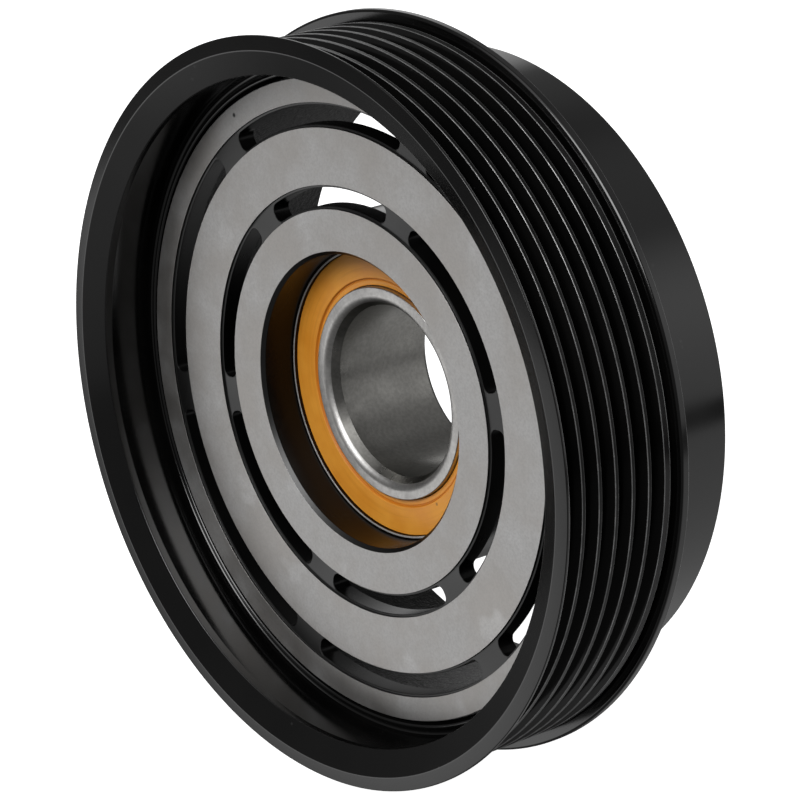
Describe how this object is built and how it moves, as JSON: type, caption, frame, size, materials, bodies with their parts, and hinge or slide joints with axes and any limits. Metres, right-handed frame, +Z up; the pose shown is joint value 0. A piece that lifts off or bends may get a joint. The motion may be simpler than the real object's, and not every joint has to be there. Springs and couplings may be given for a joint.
{
  "type": "electromagnetic clutch pulley",
  "caption": "Ribbed belt pulley with a slotted steel rotor and a sealed ball bearing, from the electromagnetic clutch of a vehicle's air-conditioning compressor.",
  "frame": {"origin": "middle of the bearing's bore, on the axis the pulley turns about", "axes": "+Y along the axis to the rear, where the compressor is; -Y to the friction face; +Z up"},
  "size_m": [0.129, 0.0437, 0.129],
  "materials": {
    "rim_paint": "gloss black paint",
    "rotor_steel": "turned steel friction face, black paint elsewhere",
    "bearing_steel": "ground",
    "seal_rubber": "satin orange",
    "insert_steel": "cold rolled sheet",
    "cage_nylon": "natural moulded",
    "ball_steel": "polished"
  },
  "bodies": {
    "inner_ring": {"bearing_inner_ring": "bearing_steel"},
    "pulley": {"pulley_rim": "rim_paint", "rotor": "rotor_steel", "bearing_outer_ring": "bearing_steel", "seal_front": "seal_rubber", "seal_rear": "seal_rubber", "seal_core_front": "insert_steel", "seal_core_rear": "insert_steel"},
    "cage_front": {"cage_front": "cage_nylon", "ball_front_01": "ball_steel", "ball_front_02": "ball_steel", "ball_front_03": "ball_steel", "ball_front_04": "ball_steel", "ball_front_05": "ball_steel", "ball_front_06": "ball_steel", "ball_front_07": "ball_steel", "ball_front_08": "ball_steel", "ball_front_09": "ball_steel", "ball_front_10": "ball_steel", "ball_front_11": "ball_steel", "ball_front_12": "ball_steel", "ball_front_13": "ball_steel", "ball_front_14": "ball_steel"},
    "cage_rear": {"cage_rear": "cage_nylon", "ball_rear_01": "ball_steel", "ball_rear_02": "ball_steel", "ball_rear_03": "ball_steel", "ball_rear_04": "ball_steel", "ball_rear_05": "ball_steel", "ball_rear_06": "ball_steel", "ball_rear_07": "ball_steel", "ball_rear_08": "ball_steel", "ball_rear_09": "ball_steel", "ball_rear_10": "ball_steel", "ball_rear_11": "ball_steel", "ball_rear_12": "ball_steel", "ball_rear_13": "ball_steel", "ball_rear_14": "ball_steel"}
  },
  "joints": [
    {"name": "pulley_spin", "type": "hinge", "parent": "inner_ring", "child": "pulley", "pos_m": [0, 0, 0], "axis": [0, 1, 0], "continuous": true},
    {"name": "cage_front_spin", "type": "hinge", "parent": "inner_ring", "child": "cage_front", "pos_m": [0, 0, 0], "axis": [0, 1, 0], "continuous": true},
    {"name": "cage_rear_spin", "type": "hinge", "parent": "inner_ring", "child": "cage_rear", "pos_m": [0, 0, 0], "axis": [0, 1, 0], "continuous": true}
  ],
  "couplings": [
    {"joint": "cage_front_spin", "follows": "pulley_spin", "ratio": 0.56},
    {"joint": "cage_rear_spin", "follows": "pulley_spin", "ratio": 0.56}
  ]
}
